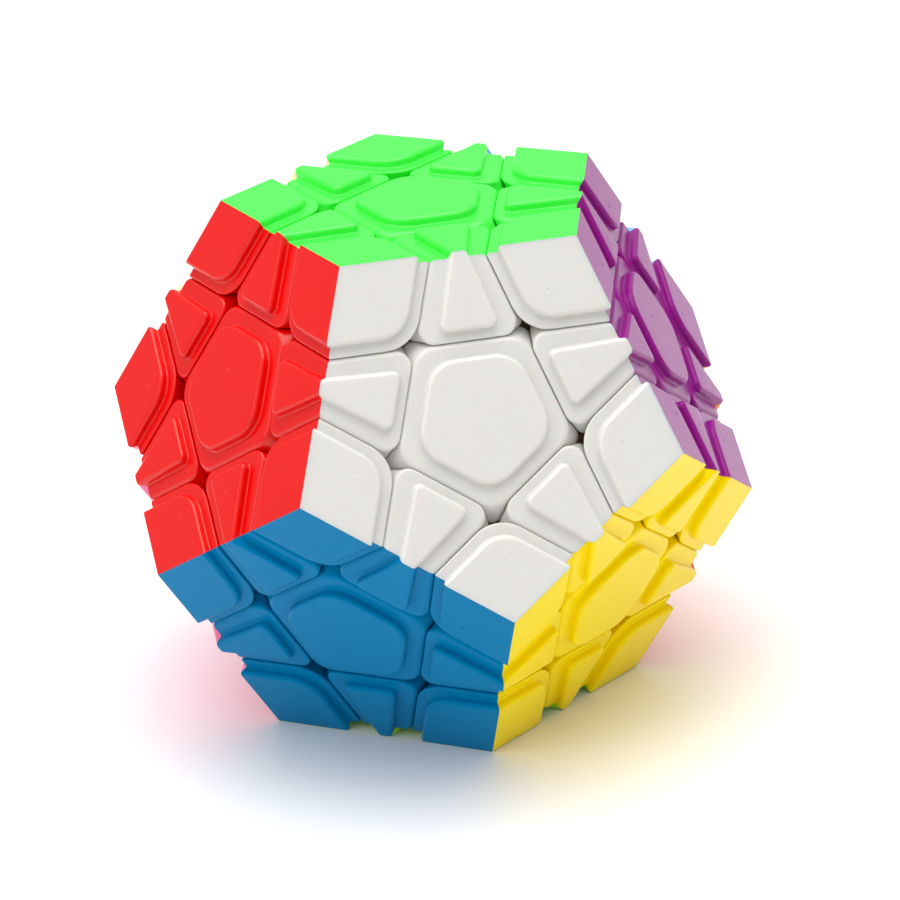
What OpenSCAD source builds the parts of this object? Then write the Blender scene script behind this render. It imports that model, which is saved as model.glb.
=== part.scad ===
// Twelve-sided turning puzzle. It stands on its lime face with the green face on top.
// Origin: middle of the lime face. The white face looks toward -Y and a little upward.
// Three faces that share no pieces, green, blue and grey, turn as whole layers.

/* [Overall size] */
// Length of one edge of the twelve-sided body
edge_len = 33; // [29:0.5:38]
// Depth of one turning layer, measured from its face
layer_depth = 11.6; // [10.6:0.1:13.4]
// Clearance between neighbouring pieces
clearance = 0.3; // [0.2:0.05:0.4]

/* [Raised tiles] */
// Height of the raised tile above its ledge
step_height = 1; // [0.6:0.1:1.4]
// Ledge width around the raised tile of a centre
centre_ledge = 2.1; // [1.4:0.1:2.8]
// Ledge width around the raised tile of a corner
corner_ledge = 1.8; // [1.2:0.1:2.6]
// Ledge width at the inner end of an edge tile
edge_ledge = 1.6; // [1:0.1:2.4]
// Width of the raised edge tile where it meets the crest
crest_width = 2.2; // [1.6:0.1:3]
// Width of the raised edge tile at its inner end
edge_tile_width = 8.4; // [6.4:0.1:9.6]

/* [Rounded corners] */
// Corner radius of the centre's raised tile
centre_tile_round = 4.8; // [3:0.1:6]
// Corner radius of the centre's ledge
centre_round = 3.4; // [2:0.1:5]
// Corner radius of the centre's flange
flange_round = 2; // [1:0.1:4]
// Inner corner radius of a corner's raised tile
corner_tile_round = 4.8; // [3:0.1:6]
// Inner corner radius of a corner's ledge
corner_round = 5.5; // [4:0.1:7]
// Corner radius of an edge's raised tile
edge_tile_round = 0.7; // [0.4:0.1:1.2]
// Corner radius of an edge's ledge
edge_round = 2; // [1.2:0.1:3]
// Corner radius of the skirts of the edges and corners
skirt_round = 1.2; // [0.6:0.1:2]

/* [Shells] */
// Wall of the hollow coloured shells
shell_wall = 1.3; // [1:0.1:1.8]
// Roof of the shells under their ledges
shell_roof = 1; // [0.8:0.1:1.4]
// Depth of the shells, from the face
shell_depth = 6; // [5:0.1:7]
// Depth below the face where the pieces widen, with a flange or a skirt, to fill their cuts
skirt_depth = 2.6; // [2.2:0.1:3.2]
// Thickness of the centre's flange
flange_thick = 2.6; // [1.5:0.1:3]

/* [Feet] */
// Half angle of the layer at the necks of the pieces
neck_angle = 42; // [41:0.5:43]
// Half angle of the layer at the feet of the pieces
foot_angle = 46; // [45:0.5:47]
// Thickness of the feet
foot_thick = 4; // [3:0.5:5]
// Radius of the post inside an edge piece
edge_post_r = 5.4; // [4:0.1:5.6]

/* [Hubs and core] */
// Outer radius of a hub, where the centre cap fits over it
hub_r = 8.2; // [7.6:0.1:8.4]
// Wall of a hub
hub_wall = 1.4; // [1:0.1:1.8]
// Outer radius of the hub's stem
stem_r = 5.2; // [4.8:0.1:5.6]
// Length of the hub's stem
stem_len = 9.5; // [8:0.5:11]
// Radius of the spring pocket in the stem
pocket_r = 3.6; // [3.4:0.1:3.8]
// Wall of the core's ball and of its wells
core_wall = 1.5; // [1.2:0.1:2]
// Floor of a well, where the screw bites
well_floor = 4; // [3:0.5:5]
// Height of the lip that joins the core's halves
lip_height = 2; // [1:0.5:3]

/* [Screws and springs] */
// Radius of a screw's shank
screw_r = 1.25; // [1:0.05:1.4]
// Radius of a screw's head
screw_head_r = 2.9; // [2.6:0.1:3.2]
// Height of a screw's head
screw_head_h = 1.6; // [1.2:0.1:2]
// Thickness of a washer
washer_thick = 0.5; // [0.3:0.1:0.8]
// Radius of the spring wire
wire_r = 0.3; // [0.2:0.05:0.35]
// Turns of a spring
spring_turns = 4; // [3:1:5]

/* [Hidden] */
$fn = 72;

GREEN = 0;
WHITE = 1;
PURPLE = 2;
SKY = 3;
CREAM = 4;
RED = 5;
YELLOW = 6;
ORANGE = 7;
GREY = 8;
PINK = 9;
BLUE = 10;
LIME = 11;
FACES = [0:11];
STILL = -1;
PAINT = ["limegreen", "white", "mediumorchid", "lightskyblue", "cornsilk", "red",
         "gold", "darkorange", "dimgrey", "hotpink", "royalblue", "greenyellow"];
INNER = "#26272b";
METAL = "silver";

// Angle between two neighbouring faces' axes, and how it projects
face_angle = atan(2);
sin_face = sin(face_angle);
cos_face = cos(face_angle);
// Core centre to a face, and the middle of a face to its edge
face_r = edge_len * sqrt(250 + 110 * sqrt(5)) / 20;
face_apothem = edge_len / (2 * tan(36));
// Core centre to a layer's cut, to the outside of the feet and to their inside
cut_r = face_r - layer_depth;
foot_r = cut_r / cos(neck_angle);
inner_r = foot_r - foot_thick;
core_r = inner_r - clearance;
half_gap = clearance / 2;
// Larger than the whole object, for cutting
REACH = 3 * edge_len;
// Small overlap that keeps joined shapes one solid
LAP = 0.4;
// Extra outline width where a slanted wall does the cutting
FLARE = 0.05;
ARC_STEPS = 6;
// Turns the seam line of round shapes away from the cuts
SEAM_TURN = 17;

// Heights along a face's axis, from the core centre
ledge_z = face_r - step_height;
roof_z = ledge_z - shell_roof;
shell_z = face_r - shell_depth;
skirt_z = face_r - skirt_depth;
hub_z = inner_r + half_gap;
stem_z = hub_z - stem_len;
well_z = stem_z - clearance;
cup_z = hub_z + hub_wall;
washer_z = cup_z - washer_thick;
spring_z = stem_z + hub_wall + wire_r + FLARE;
spring_top_z = washer_z - wire_r - FLARE;
screw_tip_z = well_z - well_floor - washer_thick;
well_r = stem_r + half_gap;
coil_r = pocket_r - 2 * wire_r - half_gap;

function unit(v) = v / norm(v);
function ring_dir(tilt, turn) = [sin(tilt) * cos(turn), sin(tilt) * sin(turn), cos(tilt)];
// Axis of each face: one on top, five above the middle, five below, one underneath
function face_axis(i) =
    i == GREEN ? [0, 0, 1]
    : i == LIME ? [0, 0, -1]
    : i <= RED ? ring_dir(face_angle, -90 + 72 * (i - WHITE))
    : ring_dir(180 - face_angle, -54 + 72 * (i - YELLOW));
AXIS = [for (i = FACES) face_axis(i)];
function touching(i, j) = abs(AXIS[i] * AXIS[j] - cos_face) < 0.01;
function neighbours(i) = [for (j = FACES) if (touching(i, j)) j];
// The two faces at the ends of the edge that faces i and j share
function end_faces(i, j) = [for (k = FACES) if (touching(i, k) && touching(j, k)) k];
EDGES = [for (i = FACES, j = FACES) if (i < j && touching(i, j)) [i, j]];
CORNERS = [for (e = EDGES, k = FACES)
    if (e[1] < k && touching(e[0], k) && touching(e[1], k)) [e[0], e[1], k]];
// The turning layer that a piece belongs to, from the faces that it shows
function has(faces, i) = len(search(i, faces)) > 0;
function layer_of(faces) =
    has(faces, GREEN) ? GREEN : has(faces, BLUE) ? BLUE : has(faces, GREY) ? GREY : STILL;

// Distance of a cut from the face's axis, at a depth below the face
function cut_apothem(depth) = (cut_r - cos_face * (face_r - depth)) / sin_face;
side_gap = half_gap / sin_face;
inside_cut = cut_apothem(step_height) - side_gap;
outside_cut = cut_apothem(step_height) + side_gap;
skirt_inside = cut_apothem(skirt_depth) - side_gap;
skirt_outside = cut_apothem(skirt_depth) + side_gap;

// A corner point rounded to a radius r, between its two neighbours on the outline
function round_point(before, p, after, r) =
    let (a = unit(before - p), b = unit(after - p))
    let (half = acos(a * b) / 2, middle = p + unit(a + b) * r / sin(half))
    let (from = p + a * r / tan(half) - middle)
    let (swing = (a[0] * b[1] - a[1] * b[0] > 0 ? -1 : 1) * (180 - 2 * half))
    r == 0 ? [p]
    : [for (s = [0:ARC_STEPS])
        let (t = swing * s / ARC_STEPS)
        middle + [from[0] * cos(t) - from[1] * sin(t), from[0] * sin(t) + from[1] * cos(t)]];
function rounded(points, radii) =
    let (n = len(points))
    [for (i = [0:n - 1])
        each round_point(points[(i + n - 1) % n], points[i], points[(i + 1) % n], radii[i])];

// Outline of a centre: a pentagon with a corner radius
function pentagon(apothem, r) = rounded(
    [for (k = [0:4]) apothem / cos(36) * [cos(36 + 72 * k), sin(36 + 72 * k)]],
    [r, r, r, r, r]);
// Outline of a corner: a rhombus whose inner point is rounded. The face's corner is along +X
function rhombus(inner, r) =
    let (outer = face_apothem + 1)
    let (x = (inner + outer) / (2 * cos(36)), y = (outer - inner) / (2 * sin(36)))
    rounded([[inner / cos(36), 0], [x, -y], [outer / cos(36), 0], [x, y]], [r, 0, 0, 0]);
// Half width of an edge piece between its two end cuts, at a distance from the face's axis
function edge_half_width(x, cut) = (cut - x * cos(72)) / sin(72);
// Outline of an edge's ledge. The face's edge is along +X
function trapezoid(inner, cut, r) =
    let (outer = face_apothem + 1)
    let (wide = edge_half_width(inner, cut), narrow = edge_half_width(outer, cut))
    rounded([[inner, -wide], [outer, -narrow], [outer, narrow], [inner, wide]], [r, 0, 0, r]);
// Outline of an edge's raised tile: nearly a triangle, narrow at the crest
function edge_tile_outline() =
    let (inner = outside_cut + edge_ledge, outer = face_apothem + 1)
    let (slope = (edge_tile_width - crest_width) / 2 / (face_apothem - inner))
    let (tip = crest_width / 2 - slope * (outer - face_apothem), wide = edge_tile_width / 2)
    rounded([[inner, -wide], [outer, -tip], [outer, tip], [inner, wide]],
        [edge_tile_round, 0, 0, edge_tile_round]);

// Puts a shape on a face: its axis becomes z and the hint shows where x points
module in_frame(z, hint) {
    x = unit(hint - z * (z * hint));
    y = cross(z, x);
    translate([0, 0, face_r])
        multmatrix([[x[0], y[0], z[0], 0], [x[1], y[1], z[1], 0], [x[2], y[2], z[2], 0]])
            children();
}

module on_axis(i) {
    in_frame(AXIS[i], AXIS[neighbours(i)[0]]) children();
}

module slab(points, low, high) {
    translate([0, 0, low]) linear_extrude(high - low) polygon(points);
}

// Everything beyond a plane: dir is its axis and dist its distance from the core centre
module beyond(dir, dist) {
    rotate([0, acos(dir[2]), atan2(dir[1], dir[0])])
        translate([-REACH, -REACH, dist]) cube([2 * REACH, 2 * REACH, REACH]);
}

// Direction, in a face's own frame, of the neighbour at an angle around the face
function side_dir(turn) = [sin_face * cos(turn), sin_face * sin(turn), cos_face];
// Plane through the core centre and the edge shared with that neighbour
function seam_dir(turn) = unit([0, 0, 1] - side_dir(turn));

module edge_shell(i, j) {
    in_frame(AXIS[i], AXIS[j]) difference() {
        intersection() {
            union() {
                slab(trapezoid(outside_cut - FLARE, inside_cut, edge_round),
                    skirt_z - LAP, ledge_z);
                slab(trapezoid(skirt_outside - FLARE, skirt_inside, skirt_round),
                    shell_z, skirt_z);
                slab(edge_tile_outline(), ledge_z - LAP, face_r);
            }
            beyond(side_dir(0), cut_r + half_gap);
            beyond(seam_dir(0), 0);
        }
        intersection() {
            union() {
                slab(trapezoid(outside_cut + shell_wall, inside_cut - shell_wall,
                    edge_tile_round), shell_z - LAP, roof_z);
                slab(trapezoid(skirt_outside, skirt_inside - shell_wall, edge_tile_round),
                    shell_z - LAP, skirt_z - shell_roof);
            }
            beyond(side_dir(0), cut_r + half_gap + shell_wall);
        }
    }
}

module corner_shell(i, j, k) {
    in_frame(AXIS[i], AXIS[j] + AXIS[k]) difference() {
        intersection() {
            union() {
                slab(rhombus(outside_cut - FLARE, corner_round), skirt_z - LAP, ledge_z);
                slab(rhombus(skirt_outside - FLARE, skirt_round), shell_z, skirt_z);
                slab(rhombus(outside_cut + corner_ledge, corner_tile_round),
                    ledge_z - LAP, face_r);
            }
            intersection_for (turn = [-36, 36]) beyond(side_dir(turn), cut_r + half_gap);
            intersection_for (turn = [-36, 36]) beyond(seam_dir(turn), 0);
        }
        intersection() {
            slab(rhombus(outside_cut + shell_wall, corner_round - shell_wall),
                shell_z - LAP, roof_z);
            intersection_for (turn = [-36, 36])
                beyond(side_dir(turn), cut_r + half_gap + shell_wall);
        }
    }
}

module cap(i) {
    color(PAINT[i]) on_axis(i) difference() {
        union() {
            slab(pentagon(inside_cut - centre_ledge, centre_tile_round), ledge_z - LAP, face_r);
            slab(pentagon(inside_cut, centre_round), skirt_z - LAP, ledge_z);
            slab(pentagon(skirt_inside, flange_round), skirt_z - flange_thick, skirt_z);
        }
        sphere(foot_r + half_gap);
        translate([0, 0, stem_z]) cylinder(r = hub_r, h = roof_z - stem_z);
    }
}

// Coloured shells of the edges on one face that belong to one layer
module edge_tiles(i, layer) {
    color(PAINT[i])
        for (e = EDGES) if (has(e, i) && layer_of(e) == layer)
            edge_shell(i, e[0] == i ? e[1] : e[0]);
}

// Coloured shells of the corners on one face that belong to one layer
module corner_tiles(i, layer) {
    color(PAINT[i])
        for (c = CORNERS) if (has(c, i) && layer_of(c) == layer) {
            others = [for (f = c) if (f != i) f];
            corner_shell(i, others[0], others[1]);
        }
}

// The cone that bounds a layer at the feet, made larger by grow
module layer_cone(dir, grow) {
    translate(-dir * grow / sin(foot_angle))
        rotate([0, acos(dir[2]), atan2(dir[1], dir[0])]) rotate(SEAM_TURN)
            cylinder(h = REACH / 2, r1 = 0, r2 = REACH / 2 * tan(foot_angle));
}

// A ball whose seam line is turned away from the cuts
module ball(r) {
    rotate(SEAM_TURN) sphere(r);
}

// Foot of an edge piece: a pad under the centres, a post and a saddle for the two shells.
// The piece's own axis is z, and its two faces lean toward +X and -X
module edge_foot(i, j) {
    middle = unit(AXIS[i] + AXIS[j]);
    end_lean = acos(AXIS[end_faces(i, j)[0]] * middle);
    faces = [for (turn = [0, 180]) ring_dir(face_angle / 2, turn)];
    ends = [for (turn = [90, 270]) ring_dir(end_lean, turn)];
    in_frame(middle, AXIS[i]) union() {
        difference() {
            intersection() {
                ball(foot_r - half_gap);
                intersection_for (dir = faces) layer_cone(dir, -half_gap);
            }
            ball(inner_r);
            for (dir = ends) layer_cone(dir, half_gap);
            // Steps that leave room for the lower edges of the two shells
            for (k = [0, 1]) intersection() {
                beyond(faces[k], shell_z);
                beyond(faces[1 - k], cut_r + half_gap);
            }
        }
        intersection() {
            union() {
                beyond([0, 0, 1], foot_r);
                translate([0, 0, foot_r - foot_thick / 2])
                    cylinder(r = edge_post_r, h = foot_thick);
            }
            intersection_for (dir = faces) beyond(dir, cut_r + half_gap);
            intersection_for (dir = faces) beyond(-dir, -shell_z);
            intersection_for (dir = ends) beyond(-dir, half_gap + LAP - cut_r);
        }
    }
}

// Foot of a corner piece: a pad under the edges and a neck for the three shells.
// The piece's own axis is z, with its three faces evenly around it
module corner_foot(i, j, k) {
    middle = unit(AXIS[i] + AXIS[j] + AXIS[k]);
    lean = acos(AXIS[i] * middle);
    faces = [for (turn = [0, 120, 240]) ring_dir(lean, turn)];
    in_frame(middle, AXIS[i]) union() {
        difference() {
            intersection() {
                ball(foot_r - half_gap);
                intersection_for (dir = faces) layer_cone(dir, -half_gap);
            }
            ball(inner_r);
        }
        intersection() {
            intersection_for (dir = faces) beyond(dir, cut_r + half_gap);
            intersection_for (dir = faces) beyond(-dir, -shell_z);
        }
    }
}

module edge_feet(layer) {
    color(INNER) for (e = EDGES) if (layer_of(e) == layer) edge_foot(e[0], e[1]);
}

module corner_feet(layer) {
    color(INNER) for (c = CORNERS) if (layer_of(c) == layer) corner_foot(c[0], c[1], c[2]);
}

// Cup that carries a centre cap, with a stem that holds the spring and turns in the core
module hub(i) {
    on_axis(i) rotate_extrude() polygon([
        [screw_r + half_gap, stem_z],
        [stem_r, stem_z],
        [stem_r, hub_z],
        [hub_r, hub_z],
        [hub_r, roof_z],
        [hub_r - hub_wall, roof_z],
        [hub_r - hub_wall, cup_z],
        [pocket_r, cup_z],
        [pocket_r, stem_z + hub_wall],
        [screw_r + half_gap, stem_z + hub_wall]]);
}

module hubs(faces) {
    color(INNER) for (i = faces) hub(i);
}

// Half of the core: half a hollow ball with six wells for the hubs' stems
module core_half(faces, side) {
    well_top_z = sqrt(core_r * core_r - pow(well_r + core_wall, 2)) - core_wall / 2;
    color(INNER) difference() {
        union() {
            translate([0, 0, face_r]) intersection() {
                difference() {
                    sphere(core_r);
                    sphere(core_r - core_wall);
                }
                beyond([0, 0, side], 0);
            }
            for (i = faces) on_axis(i)
                translate([0, 0, well_z - well_floor])
                    cylinder(r = well_r + core_wall, h = well_top_z - well_z + well_floor);
        }
        for (i = faces) on_axis(i) {
            translate([0, 0, well_z]) cylinder(r = well_r, h = REACH / 2);
            translate([0, 0, screw_tip_z - LAP]) cylinder(r = screw_r, h = REACH / 2);
        }
    }
}

module core_top() {
    core_half([for (i = FACES) if (AXIS[i][2] > 0) i], 1);
}

// The lower half carries a lip that sits inside the upper half
module core_bottom() {
    core_half([for (i = FACES) if (AXIS[i][2] < 0) i], -1);
    color(INNER) translate([0, 0, face_r]) rotate_extrude() polygon([
        [core_r - 2 * core_wall, -lip_height],
        [core_r - core_wall / 2, -lip_height],
        [core_r - core_wall / 2, 0],
        [core_r - core_wall - half_gap, 0],
        [core_r - core_wall - half_gap, lip_height],
        [core_r - 2 * core_wall, lip_height]]);
}

module screws() {
    recess = [screw_head_r, screw_r / 2, screw_head_h];
    color(METAL) for (i = FACES) on_axis(i) difference() {
        rotate_extrude() polygon([
            [0, screw_tip_z],
            [screw_r / 2, screw_tip_z],
            [screw_r, screw_tip_z + screw_r],
            [screw_r, cup_z],
            [screw_head_r, cup_z],
            [screw_head_r, cup_z + screw_head_h / 2],
            [screw_head_r - screw_head_h / 2, cup_z + screw_head_h],
            [0, cup_z + screw_head_h]]);
        for (turn = [0, 90]) rotate([0, 0, turn])
            translate([-recess[0] / 2, -recess[1] / 2, cup_z + screw_head_h / 2])
                cube(recess);
    }
}

module washers() {
    color(METAL) for (i = FACES) on_axis(i) rotate_extrude() polygon([
        [screw_r, washer_z],
        [pocket_r - half_gap, washer_z],
        [pocket_r - half_gap, cup_z],
        [screw_r, cup_z]]);
}

// Coil spring as a closed tube of short straight lengths
module spring() {
    sides = 5;
    per_turn = 10;
    count = spring_turns * per_turn;
    rise = spring_top_z - spring_z;
    points = [for (s = [0:count], k = [0:sides - 1])
        let (turn = 360 * s / per_turn, lean = 360 * k / sides)
        let (r = coil_r + wire_r * cos(lean))
        [r * cos(turn), r * sin(turn), spring_z + rise * s / count + wire_r * sin(lean)]];
    walls = [for (s = [0:count - 1], k = [0:sides - 1])
        let (a = s * sides + k, b = s * sides + (k + 1) % sides)
        each [[a, b, b + sides], [a, b + sides, a + sides]]];
    first = [for (k = [0:sides - 1]) sides - 1 - k];
    last = [for (k = [0:sides - 1]) count * sides + k];
    polyhedron(points, concat([first], walls, [last]));
}

module springs() {
    color(METAL) for (i = FACES) on_axis(i) spring();
}

module cap_green() {
    cap(GREEN);
}

module cap_white() {
    cap(WHITE);
}

module cap_purple() {
    cap(PURPLE);
}

module cap_sky() {
    cap(SKY);
}

module cap_cream() {
    cap(CREAM);
}

module cap_red() {
    cap(RED);
}

module cap_yellow() {
    cap(YELLOW);
}

module cap_orange() {
    cap(ORANGE);
}

module cap_grey() {
    cap(GREY);
}

module cap_pink() {
    cap(PINK);
}

module cap_blue() {
    cap(BLUE);
}

module cap_lime() {
    cap(LIME);
}

module green_edge_tiles() {
    edge_tiles(GREEN, GREEN);
}

module green_corner_tiles() {
    corner_tiles(GREEN, GREEN);
}

module blue_edge_tiles() {
    edge_tiles(BLUE, BLUE);
}

module blue_corner_tiles() {
    corner_tiles(BLUE, BLUE);
}

module grey_edge_tiles() {
    edge_tiles(GREY, GREY);
}

module grey_corner_tiles() {
    corner_tiles(GREY, GREY);
}

module white_tiles_still() {
    edge_tiles(WHITE, STILL);
    corner_tiles(WHITE, STILL);
}

module white_tiles_on_green() {
    edge_tiles(WHITE, GREEN);
    corner_tiles(WHITE, GREEN);
}

module white_tiles_on_blue() {
    edge_tiles(WHITE, BLUE);
    corner_tiles(WHITE, BLUE);
}

module purple_tiles_still() {
    edge_tiles(PURPLE, STILL);
    corner_tiles(PURPLE, STILL);
}

module purple_tiles_on_green() {
    edge_tiles(PURPLE, GREEN);
    corner_tiles(PURPLE, GREEN);
}

module sky_tiles_still() {
    edge_tiles(SKY, STILL);
    corner_tiles(SKY, STILL);
}

module sky_tiles_on_green() {
    edge_tiles(SKY, GREEN);
    corner_tiles(SKY, GREEN);
}

module sky_tiles_on_grey() {
    edge_tiles(SKY, GREY);
    corner_tiles(SKY, GREY);
}

module cream_tiles_still() {
    edge_tiles(CREAM, STILL);
    corner_tiles(CREAM, STILL);
}

module cream_tiles_on_green() {
    edge_tiles(CREAM, GREEN);
    corner_tiles(CREAM, GREEN);
}

module cream_tiles_on_grey() {
    edge_tiles(CREAM, GREY);
    corner_tiles(CREAM, GREY);
}

module red_tiles_still() {
    edge_tiles(RED, STILL);
    corner_tiles(RED, STILL);
}

module red_tiles_on_green() {
    edge_tiles(RED, GREEN);
    corner_tiles(RED, GREEN);
}

module red_tiles_on_blue() {
    edge_tiles(RED, BLUE);
    corner_tiles(RED, BLUE);
}

module yellow_tiles_still() {
    edge_tiles(YELLOW, STILL);
    corner_tiles(YELLOW, STILL);
}

module yellow_tiles_on_blue() {
    edge_tiles(YELLOW, BLUE);
    corner_tiles(YELLOW, BLUE);
}

module orange_tiles_still() {
    edge_tiles(ORANGE, STILL);
    corner_tiles(ORANGE, STILL);
}

module orange_tiles_on_grey() {
    edge_tiles(ORANGE, GREY);
    corner_tiles(ORANGE, GREY);
}

module pink_tiles_still() {
    edge_tiles(PINK, STILL);
    corner_tiles(PINK, STILL);
}

module pink_tiles_on_blue() {
    edge_tiles(PINK, BLUE);
    corner_tiles(PINK, BLUE);
}

module pink_tiles_on_grey() {
    edge_tiles(PINK, GREY);
    corner_tiles(PINK, GREY);
}

module lime_tiles_still() {
    edge_tiles(LIME, STILL);
    corner_tiles(LIME, STILL);
}

module lime_tiles_on_blue() {
    edge_tiles(LIME, BLUE);
    corner_tiles(LIME, BLUE);
}

module lime_tiles_on_grey() {
    edge_tiles(LIME, GREY);
    corner_tiles(LIME, GREY);
}

module hubs_still() {
    hubs([for (i = FACES) if (i != GREEN && i != BLUE && i != GREY) i]);
}

module hub_green() {
    hubs([GREEN]);
}

module hub_blue() {
    hubs([BLUE]);
}

module hub_grey() {
    hubs([GREY]);
}

module edge_feet_still() {
    edge_feet(STILL);
}

module edge_feet_green() {
    edge_feet(GREEN);
}

module edge_feet_blue() {
    edge_feet(BLUE);
}

module edge_feet_grey() {
    edge_feet(GREY);
}

module corner_feet_still() {
    corner_feet(STILL);
}

module corner_feet_green() {
    corner_feet(GREEN);
}

module corner_feet_blue() {
    corner_feet(BLUE);
}

module corner_feet_grey() {
    corner_feet(GREY);
}

cap_green();
cap_white();
cap_purple();
cap_sky();
cap_cream();
cap_red();
cap_yellow();
cap_orange();
cap_grey();
cap_pink();
cap_blue();
cap_lime();
green_edge_tiles();
green_corner_tiles();
blue_edge_tiles();
blue_corner_tiles();
grey_edge_tiles();
grey_corner_tiles();
white_tiles_still();
white_tiles_on_green();
white_tiles_on_blue();
purple_tiles_still();
purple_tiles_on_green();
sky_tiles_still();
sky_tiles_on_green();
sky_tiles_on_grey();
cream_tiles_still();
cream_tiles_on_green();
cream_tiles_on_grey();
red_tiles_still();
red_tiles_on_green();
red_tiles_on_blue();
yellow_tiles_still();
yellow_tiles_on_blue();
orange_tiles_still();
orange_tiles_on_grey();
pink_tiles_still();
pink_tiles_on_blue();
pink_tiles_on_grey();
lime_tiles_still();
lime_tiles_on_blue();
lime_tiles_on_grey();
hubs_still();
hub_green();
hub_blue();
hub_grey();
edge_feet_still();
edge_feet_green();
edge_feet_blue();
edge_feet_grey();
corner_feet_still();
corner_feet_green();
corner_feet_blue();
corner_feet_grey();
core_top();
core_bottom();
screws();
washers();
springs();
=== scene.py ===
# %% [markdown]
# A twelve-sided turning puzzle. Twelve coloured faces meet in a dodecahedron, and each face shows
# eleven raised tiles: one five-sided centre, five rhombic corners and five narrow edges. We start
# by loading the engineering model, which fixes the size, the place and the moving layers. All the
# later shapes are made to fit it, so we keep its box before we add anything.

# %% Load the frame
import bmesh, bpy, math
from mathutils import Matrix, Vector


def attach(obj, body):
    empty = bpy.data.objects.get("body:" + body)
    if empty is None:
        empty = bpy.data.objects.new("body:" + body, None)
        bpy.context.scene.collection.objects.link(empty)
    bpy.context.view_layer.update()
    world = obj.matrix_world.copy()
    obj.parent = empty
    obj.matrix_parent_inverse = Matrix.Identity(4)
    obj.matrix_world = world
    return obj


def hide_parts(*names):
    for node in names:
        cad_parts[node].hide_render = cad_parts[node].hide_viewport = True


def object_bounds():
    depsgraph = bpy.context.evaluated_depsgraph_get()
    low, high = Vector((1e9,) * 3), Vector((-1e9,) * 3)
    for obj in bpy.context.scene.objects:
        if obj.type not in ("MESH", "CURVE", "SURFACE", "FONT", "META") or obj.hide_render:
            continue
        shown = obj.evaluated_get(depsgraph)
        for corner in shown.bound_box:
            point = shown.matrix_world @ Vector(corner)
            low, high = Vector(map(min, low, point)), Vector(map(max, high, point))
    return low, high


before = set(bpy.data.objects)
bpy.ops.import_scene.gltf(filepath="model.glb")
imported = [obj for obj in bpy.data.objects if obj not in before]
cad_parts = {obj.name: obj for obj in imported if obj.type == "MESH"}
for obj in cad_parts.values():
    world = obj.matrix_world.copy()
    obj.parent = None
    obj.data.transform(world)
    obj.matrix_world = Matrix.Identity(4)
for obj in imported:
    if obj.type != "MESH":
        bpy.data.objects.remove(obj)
cad_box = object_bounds()
MM = 0.001
puzzle_height = (cad_box[1][2] - cad_box[0][2]) / MM
print("height between two opposite faces, mm:", round(puzzle_height, 2))

# %% [markdown]
# Everything on a dodecahedron follows from one length. The height between opposite faces is twice
# the distance from the core to a face, and the edge follows from that. The cut between two layers
# is a plane parallel to a face, so it crosses the neighbouring face at a slant.

# %% Main sizes
FACE_ANGLE = math.atan(2)
face_r = puzzle_height / 2
edge_len = face_r * 20 / math.sqrt(250 + 110 * math.sqrt(5))
layer_depth = 11.6
seam = 0.11
cut_r = face_r - layer_depth
side_seam = seam / 2 / math.sin(FACE_ANGLE)


def cut_apothem(depth):
    return (cut_r - math.cos(FACE_ANGLE) * (face_r - depth)) / math.sin(FACE_ANGLE)


def crest_apothem(depth):
    return (face_r - depth) * math.tan(FACE_ANGLE / 2)


print("edge, mm:", round(edge_len, 2),
      " cut from the face's middle, mm:", round(cut_apothem(1), 2))

# %% [markdown]
# Each face needs a direction, a colour name and its neighbours. One face is on top, five lean up
# around it, five lean down below those, and one is underneath. Two faces touch where the angle
# between their directions is the smallest possible, so the neighbours need no table.

# %% Faces and neighbours
FACES = ["green", "white", "purple", "sky", "cream", "red",
         "yellow", "orange", "grey", "pink", "blue", "lime"]
FIFTH_TURN = 72


def lean(tilt, turn):
    turn = math.radians(turn)
    return Vector((math.sin(tilt) * math.cos(turn),
                   math.sin(tilt) * math.sin(turn),
                   math.cos(tilt)))


AXIS = {"green": lean(0, 0), "lime": lean(math.pi, 0)}
for k in range(5):
    AXIS[FACES[1 + k]] = lean(FACE_ANGLE, -90 + FIFTH_TURN * k)
    AXIS[FACES[6 + k]] = lean(math.pi - FACE_ANGLE, -54 + FIFTH_TURN * k)


def touching(a, b):
    return abs(AXIS[a].dot(AXIS[b]) - math.cos(FACE_ANGLE)) < 0.01


edge_pieces = [(a, b) for a in FACES for b in FACES if a < b and touching(a, b)]
corner_pieces = [(a, b, c) for a, b in edge_pieces for c in FACES
                 if b < c and touching(a, c) and touching(b, c)]
print(len(edge_pieces), "edge pieces and", len(corner_pieces), "corner pieces")

# %% [markdown]
# A piece that touches the green, blue or grey face turns with that face. The engineering model
# groups its nodes the same way, so a small rule finds the body and the node of any tile.

# %% Bodies and nodes
TURNING = ["green", "blue", "grey"]


def layer_of(piece):
    found = [f for f in TURNING if f in piece]
    return found[0] if found else None


def body_name(layer):
    return layer + "_layer" if layer else "still_frame"


def node_name(face, layer, kind):
    if layer == face:
        return face + "_" + kind + "_tiles"
    return face + ("_tiles_on_" + layer if layer else "_tiles_still")


print("a white tile at the green edge belongs to", node_name("white", "green", "edge"))

# %% [markdown]
# All tiles are drawn lying flat, with the face's middle axis as Z and the outside of the face at
# the top, and then stood in place. A matrix made from the face's direction and a hint for X does
# that. It keeps the drawing simple: an edge tile always points along X, whichever face it is on.

# %% Standing a flat drawing on its face
core_place = Vector((0, 0, face_r * MM))


def stand_on(face, hint):
    z = AXIS[face]
    x = (hint - z * hint.dot(z)).normalized()
    y = z.cross(x)
    turn = Matrix((x, y, z)).transposed().to_4x4()
    return Matrix.Translation(core_place) @ turn @ Matrix.Scale(MM, 4)


print("white face stands at", [round(v, 3) for v in stand_on("white", AXIS["green"]).col[2][:3]])

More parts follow.
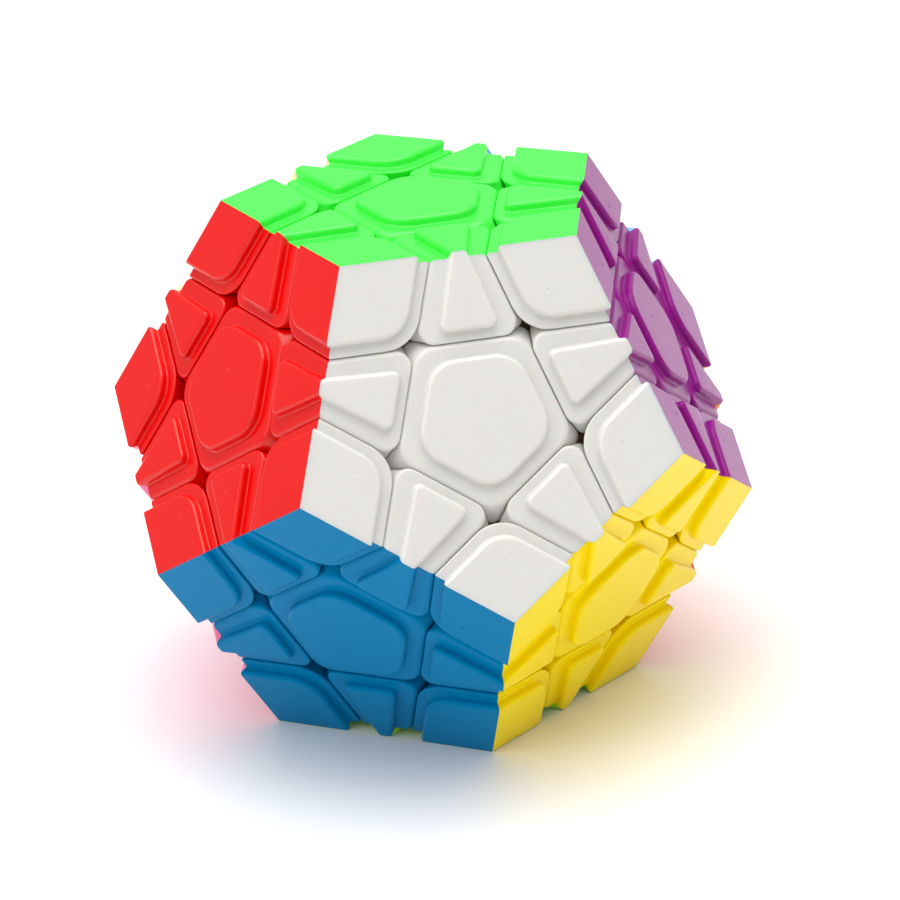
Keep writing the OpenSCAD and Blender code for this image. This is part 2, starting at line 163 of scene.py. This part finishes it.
# %% [markdown]
# Moulded tiles have rounded corners seen from above. A corner is rounded by replacing it with an
# arc that touches both sides. A bevel modifier could do it after the mesh is made, but the corner
# radii here are as big as the tiles, and each level of a tile has its own, so we draw the arcs.

# %% Rounded corners
smallest_radius = 0.06


def rounded_corner(before, corner, after, radius, steps):
    a = (Vector(before) - Vector(corner)).normalized()
    b = (Vector(after) - Vector(corner)).normalized()
    half = a.angle(b) / 2
    radius = max(radius, smallest_radius)
    middle = Vector(corner) + (a + b).normalized() * radius / math.sin(half)
    start = Vector(corner) + a * radius / math.tan(half) - middle
    swing = (math.pi - 2 * half) * (-1 if a.x * b.y - a.y * b.x > 0 else 1)
    points = []
    for s in range(steps + 1):
        t = swing * s / steps
        points.append((middle.x + start.x * math.cos(t) - start.y * math.sin(t),
                       middle.y + start.x * math.sin(t) + start.y * math.cos(t)))
    return points


print("points on one arc:", len(rounded_corner((1, 0), (0, 0), (0, 1), 0.3, 8)))

# %% [markdown]
# Three outlines make the whole puzzle. A centre is a pentagon. A corner is a rhombus that shows
# only its two inner sides, because its outer sides lie on the crests of the body. An edge is a
# wedge that ends on one crest. The crest outlines are open lines, so they can slide inward with
# depth, as the two colours of a piece meet on a slanted seam.

# %% Outlines
HALF_SIDE = math.pi / 5
centre_arc_steps, corner_arc_steps, edge_arc_steps = 10, 12, 8


def centre_outline(apothem, radius):
    reach = apothem / math.cos(HALF_SIDE)
    turns = [math.radians(FIFTH_TURN / 2 + FIFTH_TURN * k) for k in range(5)]
    corners = [(reach * math.cos(t), reach * math.sin(t)) for t in turns]
    points = []
    for k in range(5):
        points += rounded_corner(corners[k - 1], corners[k], corners[(k + 1) % 5],
                                 radius, centre_arc_steps)
    return points


def corner_outline(inner, radius, depth):
    outer, c, s = crest_apothem(depth), math.cos(HALF_SIDE), math.sin(HALF_SIDE)
    x, y = (inner + outer) / 2 / c, (outer - inner) / 2 / s
    low, tip, high = (x, -y), (inner / c, 0), (x, y)
    return [low] + rounded_corner(low, tip, high, radius, corner_arc_steps) + [high]


def edge_outline(inner, half_width, radius, depth):
    outer = crest_apothem(depth)
    low_out, low_in = (outer, -half_width(outer)), (inner, -half_width(inner))
    high_in, high_out = (inner, half_width(inner)), (outer, half_width(outer))
    return ([low_out] + rounded_corner(low_out, low_in, high_in, radius, edge_arc_steps)
            + rounded_corner(low_in, high_in, high_out, radius, edge_arc_steps) + [high_out])


print("outline points: centre", len(centre_outline(8, 4)),
      " corner", len(corner_outline(12, 5, 0)))

# %% [markdown]
# Seen from the side, every tile has the same profile: a flat top, a soft shoulder, a short wall,
# a soft foot, a flat ledge, another soft shoulder and then the wall of the gap. The wall leans
# with the cut, and its rounded corners grow sharper on the way down, so a smooth ramp nearly
# closes the small opening where several pieces meet. The top and the ledge are lists of steps,
# each saying how far the outline moves out and how deep it lies. The ramp's steps say instead how
# round its corners are at each depth.

# %% The profile of a tile
step_height = 1.2
shoulder = 0.56
foot = 0.26
draft = 0.03
ledge_shoulder = 0.5
ramp_end = 4.2
shell_depth = 5.9
shoulder_steps, foot_steps, ramp_steps = 5, 4, 7


def quarter_arc(steps):
    return [math.radians(90 * k / steps) for k in range(steps + 1)]


def top_profile():
    steps = [(-shoulder * (1 - math.sin(a)), shoulder * (1 - math.cos(a)))
             for a in quarter_arc(shoulder_steps)]
    steps += [(draft + foot * (1 - math.cos(a)), step_height - foot * (1 - math.sin(a)))
              for a in quarter_arc(foot_steps)]
    return steps


def ledge_profile():
    return [(-ledge_shoulder * (1 - math.sin(a)), step_height + ledge_shoulder * (1 - math.cos(a)))
            for a in quarter_arc(shoulder_steps)]


def ramp_profile(ledge_round, deep_round):
    steps = []
    for k in range(1, ramp_steps + 1):
        t = k / ramp_steps
        blend = t * t * (3 - 2 * t)
        drop = (ramp_end - step_height - ledge_shoulder) * t
        steps.append((ledge_round + (deep_round - ledge_round) * blend,
                      step_height + ledge_shoulder + drop))
    return steps


print("steps in the profile:", len(top_profile()), "+", len(ledge_profile()),
      "+", len(ramp_profile(3, 1)))

# %% [markdown]
# Where the melted plastic entered the mould, each tile keeps a tiny mark on its flat top. We make
# it as real geometry: the flat top runs in from its outline to a small circle, and the circle
# drops into a shallow dimple. A second flat circle just outside it keeps the dimple's slope out of
# the shading of the flat top. Each ring is a share of the mark's radius and of its depth.

# %% Flat top with a gate mark
gate_radius = 0.26
gate_depth = 0.07
GATE_RINGS = ((1.4, 0), (1, 0), (0.7, 0.8), (0.35, 1))


def gate_rings(outline, middle):
    turns = [math.atan2(p[1] - middle[1], p[0] - middle[0]) for p in outline]
    rings = []
    for radius_share, depth_share in GATE_RINGS:
        radius, depth = gate_radius * radius_share, gate_depth * depth_share
        rings.append([(middle[0] + radius * math.cos(t), middle[1] + radius * math.sin(t),
                       face_r - depth) for t in turns])
    return rings


print("gate mark, mm across:", gate_radius * 2)

# %% [markdown]
# A loft joins the outlines into a skin: each outline has the same number of points, so quads join
# one level to the next. An open outline also needs the two seam faces that close the solid at the
# crests, so that every tile is a closed piece. Smooth shading with area-weighted
# normals keeps the flats flat and the shoulders round, and the seams stay sharp by angle.

# %% Loft and finish a tile
SHARP_ANGLE = math.radians(40)


def make_piece(name, points, faces, place, paint):
    mesh = bpy.data.meshes.new(name)
    mesh.from_pydata([place @ Vector(p) for p in points], [], faces)
    mesh.materials.append(paint)
    mesh.validate()
    skin = bmesh.new()
    skin.from_mesh(mesh)
    bmesh.ops.recalc_face_normals(skin, faces=skin.faces)
    skin.to_mesh(mesh)
    skin.free()
    piece = bpy.data.objects.new(name, mesh)
    bpy.context.scene.collection.objects.link(piece)
    mesh.shade_smooth()
    mesh.set_sharp_from_angle(angle=SHARP_ANGLE)
    weights = piece.modifiers.new("flat faces lead the shading", "WEIGHTED_NORMAL")
    weights.keep_sharp = True
    return piece


def loft(levels, closed, gate, tips=None):
    count = len(levels[0])
    points = [p for level in levels for p in level]
    sides = count if closed else count - 1
    faces = [(a * count + k, (a + 1) * count + k,
              (a + 1) * count + (k + 1) % count, a * count + (k + 1) % count)
             for a in range(len(levels) - 1) for k in range(sides)]
    last = (len(levels) - 1) * count
    top, bottom = list(range(count)), [last + k for k in reversed(range(count))]
    if not closed:
        low = [a * count for a in range(len(levels))]
        high = [a * count + count - 1 for a in range(len(levels))]
        if tips:
            points += tips
            top_tip, bottom_tip = len(points) - 2, len(points) - 1
            faces += [tuple([top_tip] + low + [bottom_tip]),
                      tuple([bottom_tip] + high[::-1] + [top_tip])]
            top, bottom = top + [top_tip], bottom + [bottom_tip]
        else:
            faces.append(tuple(low + high[::-1]))
    outline = [points[k] for k in top]
    ring = top
    for level in gate_rings(outline, gate):
        first = len(points)
        points += level
        fresh = list(range(first, first + len(level)))
        faces += [(ring[k], ring[(k + 1) % len(ring)], fresh[(k + 1) % len(ring)], fresh[k])
                  for k in range(len(ring))]
        ring = fresh
    faces += [tuple(ring), tuple(bottom)]
    return points, faces


def at_depth(outline, depth):
    return [(x, y, face_r - depth) for x, y in outline]


print("sharp above", round(math.degrees(SHARP_ANGLE)), "degrees")

# %% [markdown]
# The tiles are solid-coloured ABS, so the colour doesn't wear off and there are no stickers. New
# moulded ABS is smooth with a soft gloss. A noise texture moves the colour and the roughness by a
# few parts in a hundred, and a second, finer one gives the faint orange-peel of a polished mould.
# White plastic lets light through its thin edges, most of all the warm part of it, so on a real
# puzzle the gaps between white tiles look tan. Subsurface scattering gives a part of that warmth.
# A few colours shine less than the others, or in their own tint, because a plain white shine
# would wash them out.

# %% Moulded plastic
plain_gloss, plain_shine, plain_level, plain_glow = 0.22, (1, 1, 1), 0.5, 0.06
cloud_scale, peel_scale = 60, 900
tint_low, tint_high = 0.985, 1.015
gloss_drop, gloss_rise = 0.03, 0.04
peel_strength, peel_height = 0.12, 0.00002
plastic_ior = 1.5
glow_reach, glow_scale = (1, 0.62, 0.4), 0.0014


def moulded_plastic(name, colour, gloss=plain_gloss, shine=plain_shine, level=plain_level,
                    glow=plain_glow):
    paint = bpy.data.materials.new(name)
    paint.use_nodes = True
    nodes, links = paint.node_tree.nodes, paint.node_tree.links
    shader = nodes["Principled BSDF"]
    place = nodes.new("ShaderNodeTexCoord")
    cloud = nodes.new("ShaderNodeTexNoise")
    cloud.inputs["Scale"].default_value = cloud_scale
    cloud.inputs["Detail"].default_value = 3
    tint = nodes.new("ShaderNodeMix")
    tint.data_type = "RGBA"
    tint.inputs["A"].default_value = (*[c * tint_low for c in colour], 1)
    tint.inputs["B"].default_value = (*[min(1, c * tint_high) for c in colour], 1)
    gloss_range = nodes.new("ShaderNodeMapRange")
    gloss_range.inputs["To Min"].default_value = gloss - gloss_drop
    gloss_range.inputs["To Max"].default_value = gloss + gloss_rise
    peel = nodes.new("ShaderNodeTexNoise")
    peel.inputs["Scale"].default_value = peel_scale
    peel.inputs["Detail"].default_value = 2
    relief = nodes.new("ShaderNodeBump")
    relief.inputs["Strength"].default_value = peel_strength
    relief.inputs["Distance"].default_value = peel_height
    links.new(place.outputs["Object"], cloud.inputs["Vector"])
    links.new(place.outputs["Object"], peel.inputs["Vector"])
    links.new(cloud.outputs["Fac"], tint.inputs["Factor"])
    links.new(cloud.outputs["Fac"], gloss_range.inputs["Value"])
    links.new(tint.outputs["Result"], shader.inputs["Base Color"])
    links.new(gloss_range.outputs["Result"], shader.inputs["Roughness"])
    links.new(peel.outputs["Fac"], relief.inputs["Height"])
    links.new(relief.outputs["Normal"], shader.inputs["Normal"])
    shader.inputs["IOR"].default_value = plastic_ior
    shader.inputs["Specular Tint"].default_value = (*shine, 1)
    shader.inputs["Specular IOR Level"].default_value = level
    shader.inputs["Subsurface Weight"].default_value = glow
    shader.inputs["Subsurface Radius"].default_value = glow_reach
    shader.inputs["Subsurface Scale"].default_value = glow_scale
    return paint


COLOURS = {
    "green": (0.05, 0.80, 0.06), "white": (0.71, 0.695, 0.665), "purple": (0.27, 0.008, 0.22),
    "sky": (0.13, 0.47, 0.80), "cream": (0.87, 0.79, 0.50), "red": (0.74, 0.0, 0.0),
    "yellow": (0.97, 0.73, 0.0), "orange": (0.95, 0.23, 0.004), "grey": (0.13, 0.135, 0.145),
    "pink": (0.90, 0.22, 0.40), "blue": (0.0, 0.185, 0.40), "lime": (0.36, 0.78, 0.02),
}
SHINE = {"blue": (0, 0.6, 1), "yellow": (1, 0.95, 0.3), "red": (1, 0.9, 0.8)}
LEVEL = {"blue": 0.16, "purple": 0.14, "yellow": 0.2}
GLOW = {"white": 0.4, "yellow": 0.25}
GLOSS = {"white": 0.34}
PAINT = {face: moulded_plastic(face + " plastic", COLOURS[face],
                               gloss=GLOSS.get(face, plain_gloss),
                               shine=SHINE.get(face, plain_shine),
                               level=LEVEL.get(face, plain_level),
                               glow=GLOW.get(face, plain_glow))
         for face in FACES}
print(len(PAINT), "plastics mixed")

# %% [markdown]
# The five-sided centre has a raised tile and a ledge, and its wall widens on the way down, which
# holds the edges in. Its point shows in the small openings at its corners. Every level is a
# rounded pentagon, so one closed loft makes the whole cap. The last two levels turn back up inside
# it, which leaves a pocket for the hub and the head of its screw. A solid cap would look the same
# from outside, but the screw would run through it.

# %% Centre caps
centre_ledge = 2.1
centre_tile_round = 4.6
centre_round = 3.4
centre_deep_round = 1.8
pocket_apothem = 8.35
pocket_roof = 1.98
centre_gate = (2.2, 0.9)


def centre_levels():
    tile_apothem = cut_apothem(step_height) - side_seam - centre_ledge
    levels = []
    for out, depth in top_profile():
        levels.append(at_depth(centre_outline(tile_apothem + out, centre_tile_round + out), depth))
    for out, depth in ledge_profile():
        wall = cut_apothem(depth) - side_seam
        levels.append(at_depth(centre_outline(wall + out, centre_round + out), depth))
    for radius, depth in ramp_profile(centre_round, centre_deep_round):
        levels.append(at_depth(centre_outline(cut_apothem(depth) - side_seam, radius), depth))
    pocket = centre_outline(pocket_apothem, centre_deep_round)
    return levels + [at_depth(pocket, ramp_end), at_depth(pocket, pocket_roof)]


for face in FACES:
    hint = AXIS[[f for f in FACES if touching(face, f)][0]]
    points, faces = loft(centre_levels(), closed=True, gate=centre_gate)
    cap = make_piece("centre_" + face, points, faces, stand_on(face, hint), PAINT[face])
    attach(cap, body_name(layer_of([face])))
    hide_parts("cap_" + face)
print("12 centres,", len(points), "points each")

# %% [markdown]
# A corner piece shows three colours. Each is a shell of its own, and the three shells meet on the
# crests in a sharp line where the colour changes. The two inner sides and the big rounded point
# between them carry the step and the ledge. Below the ledge the wall leans away, along the cut,
# and the big rounded point grows sharper.

# %% Corner tiles
corner_ledge = 1.8
corner_tile_round = 4.8
corner_round = 5.5
corner_deep_round = 1.6
corner_gate = (19.5, 0)


def corner_levels():
    base = cut_apothem(step_height) + side_seam
    levels = []
    for out, depth in top_profile():
        levels.append(at_depth(corner_outline(base + corner_ledge - out,
                                              corner_tile_round + out, depth), depth))
    for out, depth in ledge_profile():
        wall = cut_apothem(depth) + side_seam
        levels.append(at_depth(corner_outline(wall - out, corner_round + out, depth), depth))
    for radius, depth in (ramp_profile(corner_round, corner_deep_round)
                          + [(corner_deep_round, shell_depth)]):
        wall = cut_apothem(depth) + side_seam
        levels.append(at_depth(corner_outline(wall, radius, depth), depth))
    return levels


corner_tips = [(crest_apothem(d) / math.cos(HALF_SIDE), 0, face_r - d) for d in (0, shell_depth)]
for piece in corner_pieces:
    layer = layer_of(piece)
    for face in piece:
        others = [f for f in piece if f != face]
        points, faces = loft(corner_levels(), closed=False, gate=corner_gate, tips=corner_tips)
        tile = make_piece("corner_" + face + "_by_" + "_".join(others), points, faces,
                          stand_on(face, AXIS[others[0]] + AXIS[others[1]]), PAINT[face])
        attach(tile, body_name(layer))
        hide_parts(node_name(face, layer, "corner"))
print("60 corner tiles,", len(points), "points each")

# %% [markdown]
# An edge piece shows two colours. Its raised tile is nearly a triangle: broad toward the centre of
# the face and only a few millimetres wide where it reaches the crest. The ledge around it is wider
# and has round inner corners.

# %% Edge tiles
edge_ledge = 1.6
crest_width = 2.2
edge_tile_width = 8.4
edge_tile_round = 0.95
edge_round = 2.0
edge_deep_round = 0.9
edge_gate = (15.4, 0)


def edge_levels():
    base = cut_apothem(step_height) + side_seam
    tile_inner = base + edge_ledge
    slope = (edge_tile_width - crest_width) / 2 / (crest_apothem(0) - tile_inner)
    slant = math.sqrt(1 + slope * slope)
    levels = []
    for out, depth in top_profile():
        def tile_half(x, out=out):
            return crest_width / 2 + slope * (crest_apothem(0) - x) + out * slant
        levels.append(at_depth(edge_outline(tile_inner - out, tile_half,
                                            edge_tile_round + out, depth), depth))

    fifth = math.radians(FIFTH_TURN)

    def ledge_level(depth, out, radius):
        side = cut_apothem(depth) - side_seam + out
        wall = cut_apothem(depth) + side_seam - out

        def ledge_half(x):
            return (side - x * math.cos(fifth)) / math.sin(fifth)
        return at_depth(edge_outline(wall, ledge_half, radius, depth), depth)

    for out, depth in ledge_profile():
        levels.append(ledge_level(depth, out, edge_round + out))
    for radius, depth in (ramp_profile(edge_round, edge_deep_round)
                          + [(edge_deep_round, shell_depth)]):
        levels.append(ledge_level(depth, 0, radius))
    return levels


for piece in edge_pieces:
    layer = layer_of(piece)
    for face in piece:
        other = [f for f in piece if f != face][0]
        points, faces = loft(edge_levels(), closed=False, gate=edge_gate)
        tile = make_piece("edge_" + face + "_by_" + other, points, faces,
                          stand_on(face, AXIS[other]), PAINT[face])
        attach(tile, body_name(layer))
        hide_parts(node_name(face, layer, "edge"))
print("60 edge tiles,", len(points), "points each")

# %% [markdown]
# Inside are the feet, the hubs and the ball-shaped core, and the screws, washers and springs in
# plated steel. The engineering model already has their shapes, so they stay and only get a better
# finish. The plastic inside is given a warm brown as painted shade: it stands in for the warm
# light that comes through the white tiles and for the shade in the small openings between the
# tiles.
# Brushed lines would be wrong on such small turned parts, so the steel gets a fine speckle in its
# roughness.

# %% Finishes of the inner parts
# Painted shade: this brown stands in for the warm glow through white plastic and the shade in the
# openings between tiles.
inner_colour_painted_warm_shade, inner_gloss = (0.62, 0.37, 0.22), 0.45
steel_colour = (0.56, 0.56, 0.58, 1)
speckle_scale, speckle_low, speckle_high = 2500, 0.22, 0.38

inner_plastic_painted_warm_shade = moulded_plastic("inner plastic with painted warm shade", inner_colour_painted_warm_shade, gloss=inner_gloss)
steel = bpy.data.materials.new("plated steel")
steel.use_nodes = True
shader = steel.node_tree.nodes["Principled BSDF"]
shader.inputs["Base Color"].default_value = steel_colour
shader.inputs["Metallic"].default_value = 1
speckle = steel.node_tree.nodes.new("ShaderNodeTexNoise")
speckle.inputs["Scale"].default_value = speckle_scale
spread = steel.node_tree.nodes.new("ShaderNodeMapRange")
spread.inputs["To Min"].default_value = speckle_low
spread.inputs["To Max"].default_value = speckle_high
steel.node_tree.links.new(speckle.outputs["Fac"], spread.inputs["Value"])
steel.node_tree.links.new(spread.outputs["Result"], shader.inputs["Roughness"])

for name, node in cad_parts.items():
    if name in ("screws", "washers", "springs"):
        finish = steel
    elif name.startswith(("hub", "core", "edge_feet", "corner_feet")):
        finish = inner_plastic_painted_warm_shade
    else:
        continue
    for holder in node.material_slots:
        holder.material = finish
print("inner nodes finished")

# %% [markdown]
# The puzzle stands on a plain white table under soft light from all sides. A large floor with a
# little gloss picks up the colours of the faces near it, which is why the shadow looks pink, blue
# and yellow.

# %% Table
table_size = 4.0
table_gap = 0.0001
table_colour, table_roughness = (0.93, 0.93, 0.93, 1), 0.5

mesh = bpy.data.meshes.new("table")
half = table_size / 2
mesh.from_pydata([(-half, -half, 0), (half, -half, 0), (half, half, 0), (-half, half, 0)],
                 [], [(0, 1, 2, 3)])
table = bpy.data.objects.new("table", mesh)
bpy.context.scene.collection.objects.link(table)
table.location.z = cad_box[0][2] - table_gap
table_paint = bpy.data.materials.new("white table")
table_paint.use_nodes = True
shader = table_paint.node_tree.nodes["Principled BSDF"]
shader.inputs["Base Color"].default_value = table_colour
shader.inputs["Roughness"].default_value = table_roughness
mesh.materials.append(table_paint)
print("table is", table_size, "m wide")

# %% [markdown]
# Soft boxes are area lights: the larger they are, the softer the shadows and the wider the shine
# on the rounded edges. A bright white surrounding fills the shadows.

# %% Lights
def soft_box(name, place, size, power):
    light = bpy.data.lights.new(name, "AREA")
    light.shape = "RECTANGLE"
    light.size, light.size_y = size
    light.energy = power
    lamp = bpy.data.objects.new(name, light)
    lamp.location = place
    lamp.rotation_euler = (core_place - Vector(place)).to_track_quat("-Z", "Y").to_euler()
    bpy.context.scene.collection.objects.link(lamp)


soft_box("overhead box", (0.0, 0.05, 0.75), (0.8, 0.8), 6.2)
soft_box("left box", (-0.75, -0.25, 0.45), (0.5, 0.7), 1.4)
horizon_glow, zenith_glow = 0.45, 0.76
world = bpy.data.worlds.new("white studio")
bpy.context.scene.world = world
world.use_nodes = True
nodes, links = world.node_tree.nodes, world.node_tree.links
direction = nodes.new("ShaderNodeTexCoord")
upward = nodes.new("ShaderNodeSeparateXYZ")
glow = nodes.new("ShaderNodeMapRange")
glow.inputs["To Min"].default_value = horizon_glow
glow.inputs["To Max"].default_value = zenith_glow
links.new(direction.outputs["Generated"], upward.inputs["Vector"])
links.new(upward.outputs["Z"], glow.inputs["Value"])
links.new(glow.outputs["Result"], nodes["Background"].inputs["Strength"])
nodes["Background"].inputs["Color"].default_value = (1, 1, 1, 1)
print("two soft boxes and a surrounding glow")

# %% [markdown]
# A long lens from a little above and to the left of the white face keeps the body almost free of
# perspective. The camera is tipped a few degrees, as one held by hand.

# %% Camera
view_turn, view_height, view_tip = -12.3, 23.3, -3.1
view_distance, lens, sensor_width = 0.612, 171, 36
shift_right, shift_up = 0.019, -0.014
a, e = math.radians(view_turn), math.radians(view_height)
back = Vector((math.sin(a) * math.cos(e), -math.cos(a) * math.cos(e), math.sin(e)))
camera = bpy.data.objects.new("camera", bpy.data.cameras.new("camera"))
camera.data.lens = lens
camera.data.sensor_width = sensor_width
camera.data.shift_x, camera.data.shift_y = shift_right, shift_up
camera.location = core_place + back * view_distance
facing = (-back).to_track_quat("-Z", "Y").to_matrix().to_4x4()
tip = Matrix.Rotation(math.radians(view_tip), 4, "Z")
camera.rotation_euler = (facing @ tip).to_euler()
bpy.context.scene.collection.objects.link(camera)
bpy.context.scene.camera = camera
bpy.context.scene.view_settings.view_transform = "Standard"
print("camera at", [round(v, 3) for v in camera.location])
